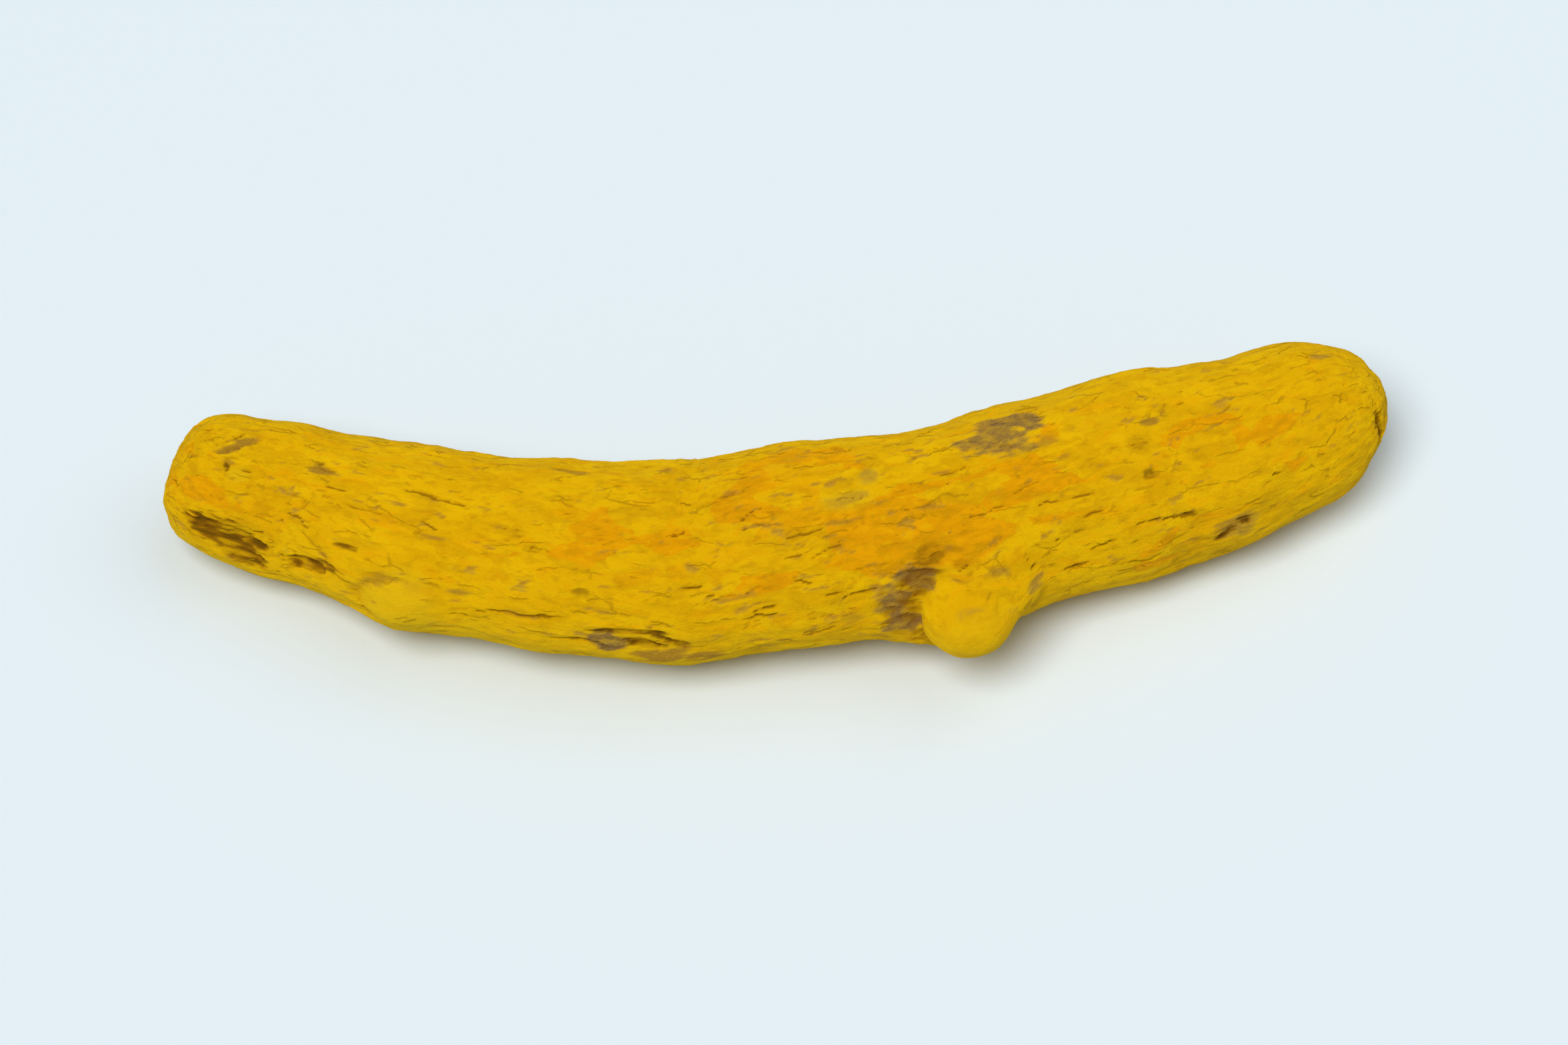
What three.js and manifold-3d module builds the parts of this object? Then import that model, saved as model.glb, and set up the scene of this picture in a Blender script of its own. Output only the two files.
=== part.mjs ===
// A dried turmeric finger: one branch of the rhizome, snapped off, boiled and dried hard.
// It is a single grown piece, bowed like a banana, with a round side bud at one of its nodes.
//
// Millimetres, +Z up. The finger lies on its side on a table at z = 0, its length along X, its bow
// towards -Y, and the origin is on the table under the middle of its bounding box. It touches the
// table on three small pads, where the skin is pressed flat.

import * as THREE from "three";
import { mergeVertices } from "three/addons/utils/BufferGeometryUtils.js";
import Module from "manifold-3d";

// Driving dimensions of the finger.
const fingerLength = 84; // tip to tip, straight across
const fingerThickness = 14; // across its stoutest stretch
const bowDepth = 11; // how far the middle bends away from the line between the tips
const flatness = 0.96; // height of the section over its width
const bluntTipLength = 4.6; // the rounded end at -X, where it broke off
const bluntTipFullness = 2.7; // 2 is round, more is squarer
const growingTipLength = 6.6; // the rounded growing end at +X
const growingTipFullness = 2.1;
const padDepth = 0.22; // how deep the table presses into the skin at each pad

// The section is a little lobed, and its lobes turn slowly along the finger. size: share of the
// radius. start and turn: radians at the blunt tip, and from tip to tip.
const lobes = [
  { count: 2, size: 0.02, start: -0.9, turn: 1.7 },
  { count: 3, size: 0.018, start: 0.4, turn: -3.6 },
];

// The side bud.
const budDiameter = 6.6;
const budReach = 4.4; // from the finger's side to the bud's crown
const budNeckDiameter = 5.2;
const budRoot = 4; // how far its neck runs on inside the finger
const budRise = 3; // degrees that it points above the horizontal

// How finely the surfaces are divided.
const stepsAlong = 90;
const stepsAround = 44;
const budStepsAround = 28;
const budStepsUp = 12;
const crowding = 0.12; // share of the rings, at each tip, that crowd together to keep it round
const tangentStep = 1e-3; // share of the length over which the middle line's direction is taken
const tipShare = 1e-6; // rings closer to a tip than this share are the tip itself
const weldDistance = 1e-4; // points closer together than this are one point

// The finger's course from tip to tip. at: share of the length. bow: share of bowDepth.
// girth: share of the full thickness. rise: millimetres between the table and the underside,
// which is below the table by padDepth at the three pads.
const course = [
  { at: 0, bow: 0, girth: 0.7, rise: 1.4 },
  { at: 0.055, bow: 0.16, girth: 0.735, rise: 0.3 },
  { at: 0.115, bow: 0.322, girth: 0.785, rise: -padDepth },
  { at: 0.2, bow: 0.643, girth: 0.865, rise: 0.3 },
  { at: 0.285, bow: 0.851, girth: 0.915, rise: 0.35 },
  { at: 0.355, bow: 0.962, girth: 0.97, rise: 0.1 },
  { at: 0.42, bow: 0.997, girth: 0.98, rise: -padDepth },
  { at: 0.48, bow: 0.965, girth: 0.985, rise: 0.1 },
  { at: 0.565, bow: 0.88, girth: 0.985, rise: 0.35 },
  { at: 0.655, bow: 0.776, girth: 0.995, rise: 0.35 },
  { at: 0.735, bow: 0.643, girth: 0.985, rise: 0.1 },
  { at: 0.8, bow: 0.51, girth: 0.97, rise: -padDepth },
  { at: 0.855, bow: 0.403, girth: 0.915, rise: 0.2 },
  { at: 0.92, bow: 0.223, girth: 0.825, rise: 0.9 },
  { at: 1, bow: 0, girth: 0.73, rise: 2.3 },
];

// Nodes ring the finger where leaves once clasped it: a low swelling with a steeper far side.
const nodeShares = [0.09, 0.195, 0.305, 0.41, 0.52, 0.625, 0.775, 0.865, 0.945];
const nodeHeight = 0.2;
const nodeNearSide = 3.2; // how gently a node rises, in millimetres along the finger
const nodeFarSide = 1.3; // how steeply it falls

// Swellings and hollows of the skin. at: share of the length. round: degrees round the section,
// 0 at -Y, 90 on top. height, along and across in millimetres.
const swellings = [
  { name: "sleeping bud", at: 0.2, round: -26, height: 0.55, along: 3, across: 3.2 },
  { name: "seat of the side bud", at: 0.618, round: -22, height: 1.6, along: 5.6, across: 4.4 },
  { name: "waist at the back", at: 0.62, round: 145, height: -1, along: 4, across: 4.8 },
  { name: "shoulder over the far node", at: 0.805, round: 145, height: 0.5, along: 2.4, across: 4 },
  { name: "leaf scar on top", at: 0.69, round: 108, height: 0.3, along: 2.6, across: 2.8 },
  { name: "sleeping bud at the back", at: 0.4, round: 185, height: 0.75, along: 2.4, across: 2.4 },
  { name: "dry fold by the blunt tip", at: 0.07, round: 18, height: -0.55, along: 2.6, across: 1.2 },
  { name: "second dry fold", at: 0.135, round: 14, height: -0.4, along: 2.2, across: 0.9 },
  { name: "sunken scar below", at: 0.385, round: 3, height: -0.4, along: 2.8, across: 1.3 },
  { name: "pit near the growing tip", at: 0.87, round: 9, height: -0.35, along: 1.2, across: 1 },
];

const budShare = nodeShares[5]; // the bud grows out of the sixth node
const thickRadius = fingerThickness / 2;

// Smooth curve through the course's points for one of its columns, by cubic Hermite spans.
function courseValue(column, share) {
  let i = 1;
  while (i < course.length - 1 && course[i].at < share) i += 1;
  const [before, from, to, after] = [i - 2, i - 1, i, i + 1].map(
    (k) => course[THREE.MathUtils.clamp(k, 0, course.length - 1)],
  );
  const slope = (a, b) => (b.at > a.at ? (b[column] - a[column]) / (b.at - a.at) : 0);
  const span = to.at - from.at;
  const s = (share - from.at) / span;
  const slopeFrom = slope(before, to) * span;
  const slopeTo = slope(from, after) * span;
  return (
    from[column] * (1 + 2 * s) * (1 - s) ** 2 +
    slopeFrom * s * (1 - s) ** 2 +
    to[column] * s * s * (3 - 2 * s) +
    slopeTo * s * s * (s - 1)
  );
}

// Round ends: a superellipse that closes the section towards each tip.
function tipRounding(distance, tipLength, fullness) {
  if (distance >= tipLength) return 1;
  return (1 - (1 - distance / tipLength) ** fullness) ** (1 / fullness);
}

function endRounding(share) {
  const blunt = tipRounding(share * fingerLength, bluntTipLength, bluntTipFullness);
  const growing = tipRounding((1 - share) * fingerLength, growingTipLength, growingTipFullness);
  return blunt * growing;
}

function nodeSwelling(share) {
  return nodeShares.reduce((sum, node) => {
    const offset = (share - node) * fingerLength;
    const width = offset < 0 ? nodeNearSide : nodeFarSide;
    return sum + nodeHeight * Math.exp(-((offset / width) ** 2));
  }, 0);
}

function lobedShape(share, round) {
  return lobes.reduce(
    (sum, { count, size, start, turn }) => sum + size * Math.cos(count * round + start + turn * share),
    1,
  );
}

function skinRelief(share, round, radius) {
  return swellings.reduce((sum, { at, round: degrees, height, along, across }) => {
    const lengthwise = ((share - at) * fingerLength) / along;
    const turned = round - THREE.MathUtils.degToRad(degrees);
    const crosswise = (Math.atan2(Math.sin(turned), Math.cos(turned)) * radius) / across;
    return sum + height * Math.exp(-(lengthwise ** 2) - crosswise ** 2);
  }, nodeSwelling(share));
}

// The middle line of the finger, with the section's sideways and upward directions.
function frameAt(share) {
  const centre = (s) =>
    new THREE.Vector3(
      (s - 0.5) * fingerLength,
      -bowDepth * courseValue("bow", s),
      courseValue("rise", s) + flatness * thickRadius * courseValue("girth", s),
    );
  const ahead = centre(Math.min(share + tangentStep, 1));
  const tangent = ahead.sub(centre(Math.max(share - tangentStep, 0))).normalize();
  const side = new THREE.Vector3(tangent.y, -tangent.x, 0).normalize(); // towards -Y
  const up = new THREE.Vector3().crossVectors(side, tangent).normalize();
  return { centre: centre(share), tangent, side, up };
}

function skinPoint(share, round) {
  const { centre, side, up } = frameAt(share);
  const radius = thickRadius * courseValue("girth", share);
  const fullReach = radius * lobedShape(share, round) + skinRelief(share, round, radius);
  const reach = fullReach * endRounding(share);
  return centre
    .addScaledVector(side, reach * Math.cos(round))
    .addScaledVector(up, reach * Math.sin(round) * flatness);
}

// Share of the length at which a ring sits: evenly spaced, but crowded together at the tips.
function ringShare(step) {
  const fromTip = Math.min(step, 1 - step);
  const eased = fromTip < crowding ? fromTip ** 2 / (2 * crowding) : fromTip - crowding / 2;
  const share = eased / (1 - crowding);
  return step < 0.5 ? share : 1 - share;
}

// A sphere whose poles become the finger's tips.
function fingerSkin() {
  const skin = new THREE.SphereGeometry(1, stepsAround, stepsAlong);
  const position = skin.getAttribute("position");
  const uv = skin.getAttribute("uv");
  for (let i = 0; i < position.count; i += 1) {
    const share = ringShare(1 - uv.getY(i));
    const onTip = share < tipShare || share > 1 - tipShare;
    const point = skinPoint(share, onTip ? 0 : 2 * Math.PI * (uv.getX(i) % 1));
    position.setXYZ(i, point.x, point.y, point.z);
  }
  return skin;
}

// A ball on a short neck, turned round its own axis and laid out from the finger's middle line.
function sideBud() {
  const ballRadius = budDiameter / 2;
  const neckRadius = budNeckDiameter / 2;
  const crown = thickRadius * courseValue("girth", budShare) + budReach;
  const neckAngle = Math.asin(neckRadius / ballRadius);
  const profile = [
    new THREE.Vector2(0, crown - budReach - budRoot),
    new THREE.Vector2(neckRadius, crown - budReach - budRoot),
  ];
  for (let i = 0; i <= budStepsUp; i += 1) {
    const angle = THREE.MathUtils.lerp(Math.PI - neckAngle, 0, i / budStepsUp);
    const radius = i === budStepsUp ? 0 : ballRadius * Math.sin(angle);
    profile.push(new THREE.Vector2(radius, crown - ballRadius + ballRadius * Math.cos(angle)));
  }
  const bud = new THREE.LatheGeometry(profile, budStepsAround);
  const { centre, side, up, tangent } = frameAt(budShare);
  const rise = THREE.MathUtils.degToRad(budRise);
  const outward = side.clone().multiplyScalar(Math.cos(rise)).addScaledVector(up, Math.sin(rise));
  const third = new THREE.Vector3().crossVectors(tangent, outward);
  bud.applyMatrix4(new THREE.Matrix4().makeBasis(tangent, outward, third).setPosition(centre));
  return bud;
}

// The table's space, which presses the pads flat.
function belowTable() {
  const slab = new THREE.BoxGeometry(2 * fingerLength, 2 * fingerLength, fingerThickness);
  slab.translate(0, 0, -fingerThickness / 2);
  return slab;
}

const wasm = await Module();
wasm.setup();

function solidFrom(geometry) {
  geometry.deleteAttribute("normal");
  geometry.deleteAttribute("uv");
  const merged = mergeVertices(geometry, weldDistance);
  const vertProperties = merged.getAttribute("position").array;
  const triVerts = new Uint32Array(merged.index.array);
  const solid = new wasm.Manifold(new wasm.Mesh({ numProp: 3, vertProperties, triVerts }));
  if (solid.volume() < 0) throw new Error("a surface faces inwards");
  return solid;
}

function geometryFrom(solid) {
  const { vertProperties, triVerts } = solid.getMesh();
  const geometry = new THREE.BufferGeometry();
  geometry.setAttribute("position", new THREE.BufferAttribute(vertProperties, 3));
  geometry.setIndex(new THREE.BufferAttribute(triVerts, 1));
  geometry.computeVertexNormals();
  return geometry;
}

const grown = solidFrom(fingerSkin()).add(solidFrom(sideBud()));
const fingerShape = geometryFrom(grown.subtract(solidFrom(belowTable())));

// The origin goes on the table, under the middle of the bounding box.
fingerShape.computeBoundingBox();
const { min, max } = fingerShape.boundingBox;
fingerShape.translate(-(min.x + max.x) / 2, -(min.y + max.y) / 2, -min.z);

const driedSkin = new THREE.MeshStandardMaterial({ color: 0xd9a30c, roughness: 0.85, metalness: 0 });
const finger = new THREE.Mesh(fingerShape, driedSkin);
finger.name = "turmeric_finger";

const part = new THREE.Group();
part.add(finger);

export default part;
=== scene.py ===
import math

import bpy
import numpy as np
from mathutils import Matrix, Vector


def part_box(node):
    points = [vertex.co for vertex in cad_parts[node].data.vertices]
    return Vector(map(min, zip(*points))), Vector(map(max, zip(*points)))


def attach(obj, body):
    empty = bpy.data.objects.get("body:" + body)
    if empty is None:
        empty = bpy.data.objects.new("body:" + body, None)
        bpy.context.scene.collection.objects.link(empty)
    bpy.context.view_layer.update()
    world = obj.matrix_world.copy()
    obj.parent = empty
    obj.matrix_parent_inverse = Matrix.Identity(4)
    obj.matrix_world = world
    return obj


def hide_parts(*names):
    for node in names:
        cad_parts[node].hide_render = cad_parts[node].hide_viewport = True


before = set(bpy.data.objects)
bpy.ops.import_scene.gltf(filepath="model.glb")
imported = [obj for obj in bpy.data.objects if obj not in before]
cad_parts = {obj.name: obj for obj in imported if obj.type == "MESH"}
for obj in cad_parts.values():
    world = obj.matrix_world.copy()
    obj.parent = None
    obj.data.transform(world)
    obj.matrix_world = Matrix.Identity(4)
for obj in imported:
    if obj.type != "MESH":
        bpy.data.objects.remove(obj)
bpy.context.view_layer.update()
print("turmeric: packed model loaded")

millimetre = 0.001
cadLow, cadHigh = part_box("turmeric_finger")
cadSize = np.array(cadHigh - cadLow) / millimetre

tiny = 1e-6  # keeps a division by nought away

# The finger, in millimetres unless said. Its sizes come from the CAD node's box.
finger = {
    "length": 0.988 * cadSize[0],
    "thickness": 1.033 * cadSize[2],
    "bow": 0.461 * cadSize[1],
    "flatness": 0.96,  # height of the section over its width
    "bluntTip": (4.6, 2.7),  # length of the rounded end, and fullness: 2 is round, more is squarer
    "growingTip": (6.6, 2.1),
    "nodes": (0.09, 0.195, 0.305, 0.41, 0.52, 0.625, 0.775, 0.865, 0.945),  # shares of the length
    "nodeHeight": 0.2,
    "nodeNearSide": 3.2,
    "nodeFarSide": 1.3,
    "ringsAlong": 341,
    "stepsAround": 292,
    "crowding": 0.05,  # share of the rings, at each tip, that crowd together
    "budCrowding": 0.45,  # how much closer the rings are over the side bud
    "budCrowdingReach": 0.06,  # share of the length
}

# Rows: share of the length, share of the bow, share of the thickness, clearance over the table.
course = np.array([
    (0, 0, 0.7, 1.4),
    (0.055, 0.16, 0.735, 0.3),
    (0.115, 0.322, 0.785, -0.22),
    (0.2, 0.643, 0.865, 0.3),
    (0.285, 0.851, 0.915, 0.35),
    (0.355, 0.962, 0.97, 0.1),
    (0.42, 0.997, 0.98, -0.22),
    (0.48, 0.965, 0.985, 0.1),
    (0.565, 0.88, 0.985, 0.35),
    (0.655, 0.776, 0.995, 0.35),
    (0.735, 0.643, 0.985, 0.1),
    (0.8, 0.51, 0.97, -0.22),
    (0.855, 0.403, 0.915, 0.2),
    (0.92, 0.223, 0.825, 0.9),
    (1, 0, 0.73, 2.3),
])
bowColumn, girthColumn, riseColumn = 1, 2, 3

# Swellings and hollows: share of the length, degrees round, height, reach along, reach across.
swellings = (
    (0.2, -26, 0.55, 3, 3.2),  # sleeping bud
    (0.618, -22, 1.6, 5.6, 4.4),  # seat of the side bud
    (0.62, 145, -1, 4, 4.8),  # waist at the back
    (0.805, 145, 0.5, 2.4, 4),  # shoulder over the far node
    (0.69, 108, 0.3, 2.6, 2.8),  # leaf scar on top
    (0.4, 185, 0.75, 2.4, 2.4),  # sleeping bud at the back
    (0.07, 18, -0.55, 2.6, 1.2),  # dry fold by the blunt tip
    (0.135, 14, -0.4, 2.2, 0.9),  # second dry fold
    (0.385, 3, -0.4, 2.8, 1.3),  # sunken scar below
    (0.87, 9, -0.35, 1.2, 1),  # pit near the growing tip
)

# Lobes of the section: how many, share of the radius, start and turn from tip to tip in radians.
lobes = ((2, 0.02, -0.9, 1.7), (3, 0.018, 0.4, -3.6))


# A smooth curve through one column of the course: cubic Hermite spans, with the slope at each row
# taken from the row before it to the row after it.
def courseValue(column, share):
    at, value = course[:, 0], course[:, column]
    slope = np.empty_like(value)
    slope[1:-1] = (value[2:] - value[:-2]) / (at[2:] - at[:-2])
    slope[0] = (value[1] - value[0]) / (at[1] - at[0])
    slope[-1] = (value[-1] - value[-2]) / (at[-1] - at[-2])
    i = np.clip(np.searchsorted(at, share) - 1, 0, len(at) - 2)
    span = at[i + 1] - at[i]
    s = (share - at[i]) / span
    start = value[i] * (1 + 2 * s) * (1 - s) ** 2 + slope[i] * span * s * (1 - s) ** 2
    end = value[i + 1] * s * s * (3 - 2 * s) + slope[i + 1] * span * s * s * (s - 1)
    return start + end


# 0 below the low edge, 1 above the high edge, and 3t^2 - 2t^3 between them.
def ease(low, high, value):
    t = np.clip((value - low) / (high - low), 0, 1)
    return t * t * (3 - 2 * t)


# The shorter way round from one angle to another.
def turned(turn, degrees):
    away = turn - math.radians(degrees)
    return np.arctan2(np.sin(away), np.cos(away))


def radiusAt(share):
    return finger["thickness"] / 2 * courseValue(girthColumn, share)


# Superellipse that closes the section: (1 - (1 - d/tip)^n)^(1/n), and 1 beyond the tip's length.
def tipRounding(distance, tip):
    length, fullness = tip
    inside = np.clip(1 - distance / length, 0, 1)
    return (1 - inside ** fullness) ** (1 / fullness)


def endRounding(share):
    fromBlunt = share * finger["length"]
    fromGrowing = (1 - share) * finger["length"]
    return tipRounding(fromBlunt, finger["bluntTip"]) * tipRounding(fromGrowing, finger["growingTip"])


# Middle line of the finger: x is even, y is the bow, z is half the height above the underside.
def middleLine(share):
    x = (share - 0.5) * finger["length"]
    y = -finger["bow"] * courseValue(bowColumn, share)
    z = courseValue(riseColumn, share) + finger["flatness"] * radiusAt(share)
    return np.stack([x, y, z])


# Directions of the section at a share: along the finger, sideways to the outside of the bow, and up.
def sectionFrame(share):
    step = 1e-3  # share of the length
    along = middleLine(np.minimum(share + step, 1)) - middleLine(np.maximum(share - step, 0))
    along /= np.linalg.norm(along, axis=0)
    side = np.stack([along[1], -along[0], np.zeros_like(along[0])])
    side /= np.linalg.norm(side, axis=0)
    return along, side, np.cross(side, along, axis=0)


# Sum of bell shapes, height * exp(-(along/reach)^2 - (across/reach)^2), and of the nodes' rings.
def swellingAt(share, turn):
    radius = radiusAt(share)
    total = np.zeros_like(share)
    for at, degrees, height, along, across in swellings:
        lengthwise = (share - at) * finger["length"] / along
        crosswise = turned(turn, degrees) * radius / across
        total += height * np.exp(-lengthwise ** 2 - crosswise ** 2)
    for node in finger["nodes"]:
        offset = (share - node) * finger["length"]
        width = np.where(offset < 0, finger["nodeNearSide"], finger["nodeFarSide"])
        total += finger["nodeHeight"] * np.exp(-(offset / width) ** 2)
    return total


# Point of the smooth skin: from the middle line outward in the section's plane, by the lobed
# radius plus the swellings, rounded off at both tips.
def skinPoint(share, turn):
    _, side, up = sectionFrame(share)
    lobed = np.ones_like(share)
    for count, size, start, spin in lobes:
        lobed += size * np.cos(count * turn + start + spin * share)
    reach = (radiusAt(share) * lobed + swellingAt(share, turn)) * endRounding(share)
    sideways = side * reach * np.cos(turn)
    upward = up * reach * np.sin(turn) * finger["flatness"]
    return middleLine(share) + sideways + upward


# The round bud that grew out of the sixth node, in millimetres.
sideBud = {
    "share": finger["nodes"][5],
    "rise": math.radians(3),  # above the horizontal
    "radius": 3.3,
    "crown": 4.4,  # how far it stands out of the finger's side
    "patch": 5.9,  # reach of the skin that is drawn out into the bud and its seat
    "ballShare": 0.58,  # share of the patch that becomes the ball
    "collarGap": 0.14,  # between the ball and the skin round it
    "tuck": 0.3,  # how deep the ball goes in behind the skin's edge
    "groove": 0.22,
    "grooveWidth": 0.6,
    "collarBearing": math.radians(150),  # from the growing end, over the top, to the blunt end
    "collarSpread": math.radians(62),
    "collarDepth": 0.22,
    "collarInner": (-0.06, 0.02),  # where it starts, in shares of the patch from the ball's edge
    "collarOuter": (0.68, 0.98),
    "collarRagged": 0.25,
    "smoothBearing": math.radians(45),  # where the bud runs smoothly into its seat
    "smoothSpread": 0.8,  # cosine of the angle from there at which the joint is widest
    "creaseShare": 0.02,  # half width of the joint, as a share of the patch
    "smoothShare": 0.3,
    "smoothShift": 0.24,  # the smooth skin sits this share of the patch below the middle
    "smoothSkin": (0.36, 0.54),  # where it turns into bark, as shares of the patch
    "depthRange": (0.3, 1.75),  # least and most depth of the ball, in its radii
}


# Skin with its bud. Round the bud's centre the skin is read in polar form: the inner part of the
# patch becomes a sphere, radius * sin(a) out and radius * (1 - cos(a)) down from the crown, and the
# outer part is the smooth skin, drawn back so that it starts at the sphere's edge. Across the joint
# a straight ramp runs from one to the other: narrow at the crease, wide on the smooth side. Also
# gives each point's distance from the centre, as a share of the patch, and its bearing.
def buddedSkin(share, turn):
    bud = sideBud
    centre = np.full(1, bud["share"])
    girth = radiusAt(centre)[0]
    along, side, up = (direction[:, 0] for direction in sectionFrame(centre))
    axis = side * math.cos(bud["rise"]) + up * math.sin(bud["rise"])
    over = up * math.cos(bud["rise"]) - side * math.sin(bud["rise"])
    root = middleLine(centre)[:, 0]
    lengthwise = (share - bud["share"]) * finger["length"]
    crosswise = turned(turn, math.degrees(bud["rise"])) * girth
    distance = np.hypot(lengthwise, crosswise)
    bearing = np.arctan2(crosswise, lengthwise)
    position = distance / bud["patch"]
    edge = bud["radius"] + bud["collarGap"]
    smoothSide = ease(0, bud["smoothSpread"], np.cos(bearing - bud["smoothBearing"]))
    joint = bud["creaseShare"] + (bud["smoothShare"] - bud["creaseShare"]) * smoothSide
    onBall = np.minimum(position, bud["ballShare"] - joint)
    onSkin = np.maximum(position, bud["ballShare"] + joint)
    outer = (onSkin - bud["ballShare"]) / (1 - bud["ballShare"])
    drawn = edge + (bud["patch"] - edge) * outer
    inside = position < 1
    distanceNow = np.where(inside, drawn, distance)
    shareNow = bud["share"] + distanceNow * np.cos(bearing) / finger["length"]
    turnNow = bud["rise"] + distanceNow * np.sin(bearing) / girth
    skin = skinPoint(np.where(inside, shareNow, share), np.where(inside, turnNow, turn))
    groove = bud["groove"] * np.exp(-((distanceNow - edge) / bud["grooveWidth"]) ** 2)
    skin = skin - axis[:, None] * groove * inside * (1 - smoothSide)
    crown = girth + bud["crown"]
    skinHeight = np.tensordot(axis, skin - root[:, None], 1)
    depth = np.clip((crown - skinHeight + bud["tuck"]) / bud["radius"], *bud["depthRange"])
    angle = onBall / bud["ballShare"] * np.arccos(1 - depth)
    outward = along[:, None] * np.cos(bearing) + over[:, None] * np.sin(bearing)
    height = crown - bud["radius"] * (1 - np.cos(angle))
    ball = root[:, None] + axis[:, None] * height + outward * bud["radius"] * np.sin(angle)
    towardSkin = np.clip((position - onBall) / np.maximum(onSkin - onBall, tiny), 0, 1)
    towardSkin = np.where(position > bud["ballShare"] + joint, 1, towardSkin)
    return ball * (1 - towardSkin) + skin * towardSkin, position, bearing


# Whole-number lattice corners to even random numbers from 0 to 1, the same on every run.
def latticeRandom(cell, salt):
    mixed = cell[0] * 73856093 ^ cell[1] * 19349663 ^ cell[2] * 83492791 ^ (salt + 1) * 668265263
    mixed = ((mixed ^ (mixed >> 13)) & 0x7FFFFFFF) * 1274126177 & 0x7FFFFFFFFFFF
    mixed = ((mixed ^ (mixed >> 17)) & 0x7FFFFFFF) * 1103515245 & 0x7FFFFFFFFFFF
    return ((mixed >> 11) & 0xFFFFFF) / 0x1000000


# Gradient noise, about -1 to 1: at each corner of its unit cell a random slope times the offset
# from the corner, mixed across the cell by 6t^5 - 15t^4 + 10t^3, and 1.7 times the sum. size is
# the cell in millimetres.
def noise(point, size, salt):
    scaled = point / np.array(size, float)[:, None]
    base = np.floor(scaled).astype(np.int64)
    offset = scaled - base
    fade = offset ** 3 * (offset * (offset * 6 - 15) + 10)
    total = np.zeros(point.shape[1])
    for step in np.ndindex(2, 2, 2):
        corner = np.array(step)[:, None]
        slope = np.stack([latticeRandom(base + corner, 3 * salt + k) for k in range(3)]) * 2 - 1
        weight = np.prod(np.where(corner == 1, fade, 1 - fade), axis=0)
        total += weight * np.sum(slope * (offset - corner), axis=0)
    return 1.7 * total


# Noise with copies of itself on top, each half the size and half the height of the one before.
def layeredNoise(point, size, salt, layers):
    total = np.zeros(point.shape[1])
    for layer in range(layers):
        finer = 2 ** layer
        total += noise(point, np.array(size, float) / finer, salt + 31 * layer) / finer
    return total


# Cracked plates: one scattered spot in each cell. Gives how near the border between the two nearest
# spots is, as second distance less first, and a random number that all of one plate shares.
def plates(point, size, salt):
    scaled = point / np.array(size, float)[:, None]
    base = np.floor(scaled).astype(np.int64)
    first = np.full(point.shape[1], 9.0)  # farther than any spot can be
    second = first.copy()
    tone = np.zeros_like(first)
    for step in np.ndindex(3, 3, 3):
        cell = base + np.array(step)[:, None] - 1
        spot = cell + np.stack([latticeRandom(cell, 3 * salt + k) for k in range(3)])
        distance = np.linalg.norm(scaled - spot, axis=0)
        closer = distance < first
        second = np.where(closer, first, np.minimum(second, distance))
        tone = np.where(closer, latticeRandom(cell, 3 * salt + 7), tone)
        first = np.where(closer, distance, first)
    return second - first, tone


# Distance in millimetres from the line along which a value crosses nought: the value over how
# steeply it changes along the skin, taken from each point's neighbours on the grid.
def lineDistance(value, grid):
    leastStep = 1e-3  # millimetres
    leastSlope = 0.05  # per millimetre
    value = value.reshape(grid.shape[:2])
    around = np.roll(value, -1, axis=1) - np.roll(value, 1, axis=1)
    aroundStep = np.linalg.norm(np.roll(grid, -1, axis=1) - np.roll(grid, 1, axis=1), axis=2)
    alongStep = np.linalg.norm(np.gradient(grid, axis=0), axis=2)
    slopeAround = around / (aroundStep + leastStep)
    slopeAlong = np.gradient(value, axis=0) / (alongStep + leastStep)
    return (np.abs(value) / (np.hypot(slopeAround, slopeAlong) + leastSlope)).ravel()


# Noise in the skin: cell size along, across and up, salt, layers, and height, in millimetres.
fields = {
    "swayAlong": ((5, 3, 3), 1, 1, 0.9),
    "swayAcross": ((4, 2, 2), 2, 3, 0.5),
    "swayUp": ((4, 2, 2), 3, 3, 0.5),
    "uneven": ((8, 4.5, 4.5), 4, 2, 0.16),
    "wrinkle": ((9, 1.7, 1.7), 5, 2, 0.1),
    "lumps": ((1.8, 1, 1), 16, 2, 0.055),
    "grain": ((0.8, 0.5, 0.5), 15, 2, 0.035),
    "patchy": ((7, 4, 4), 6, 2, 1),
    "crack": ((7, 1.5, 1.5), 8, 1, 1),
    "crackOpening": ((3.4, 1.4, 1.4), 9, 2, 1),
    "hair": ((3.6, 0.8, 0.8), 10, 1, 1),
    "hairOpening": ((2.4, 1.2, 1.2), 11, 2, 1),
    "singleSway": ((1.5, 1.5, 1.5), 12, 1, 0.3),
    "singleShiver": ((0.6, 0.6, 0.6), 32, 1, 0.12),
    "fleck": ((1.7, 0.7, 0.7), 21, 4, 1),
    "ragged": ((1.6, 0.7, 0.7), 13, 3, 1),
    "crumbs": ((1.3, 0.45, 0.45), 14, 3, 1),
}

# Soft steps: none of it at the first value, all of it at the second.
edges = {
    "flaking": (0.15, 0.7),
    "plateTop": (0, 0.18),
    "plateGap": (0.02, 0.12),
    "crackOpening": (0.42, 0.85),
    "hairOpening": (0.2, 0.7),
    "opened": (0, 0.2),
    "crackWall": (0.3, 1),
    "singleWall": (0.2, 1),
    "fleck": (0.6, 0.84),
    "patchCover": (-0.05, 0.4),
    "patchSunk": (0, 0.7),
    "dustOffBall": (0.4, 0.62),  # shares of the side bud's patch
    "seamTan": (-0.5, 0.3),
    "fromTip": (0, 0.35),
    # painted shade: ochre laid where the skin sinks below its uneven surface
    "hollowShade": (0.02, 0.3),  # millimetres down
    # where the painted green-yellow shade on the underside starts and where it is full
    "undersideShade": (math.radians(25), math.radians(-25)),
    "bluntHalf": (0.6, 0.4),  # shares of the length
}

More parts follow.
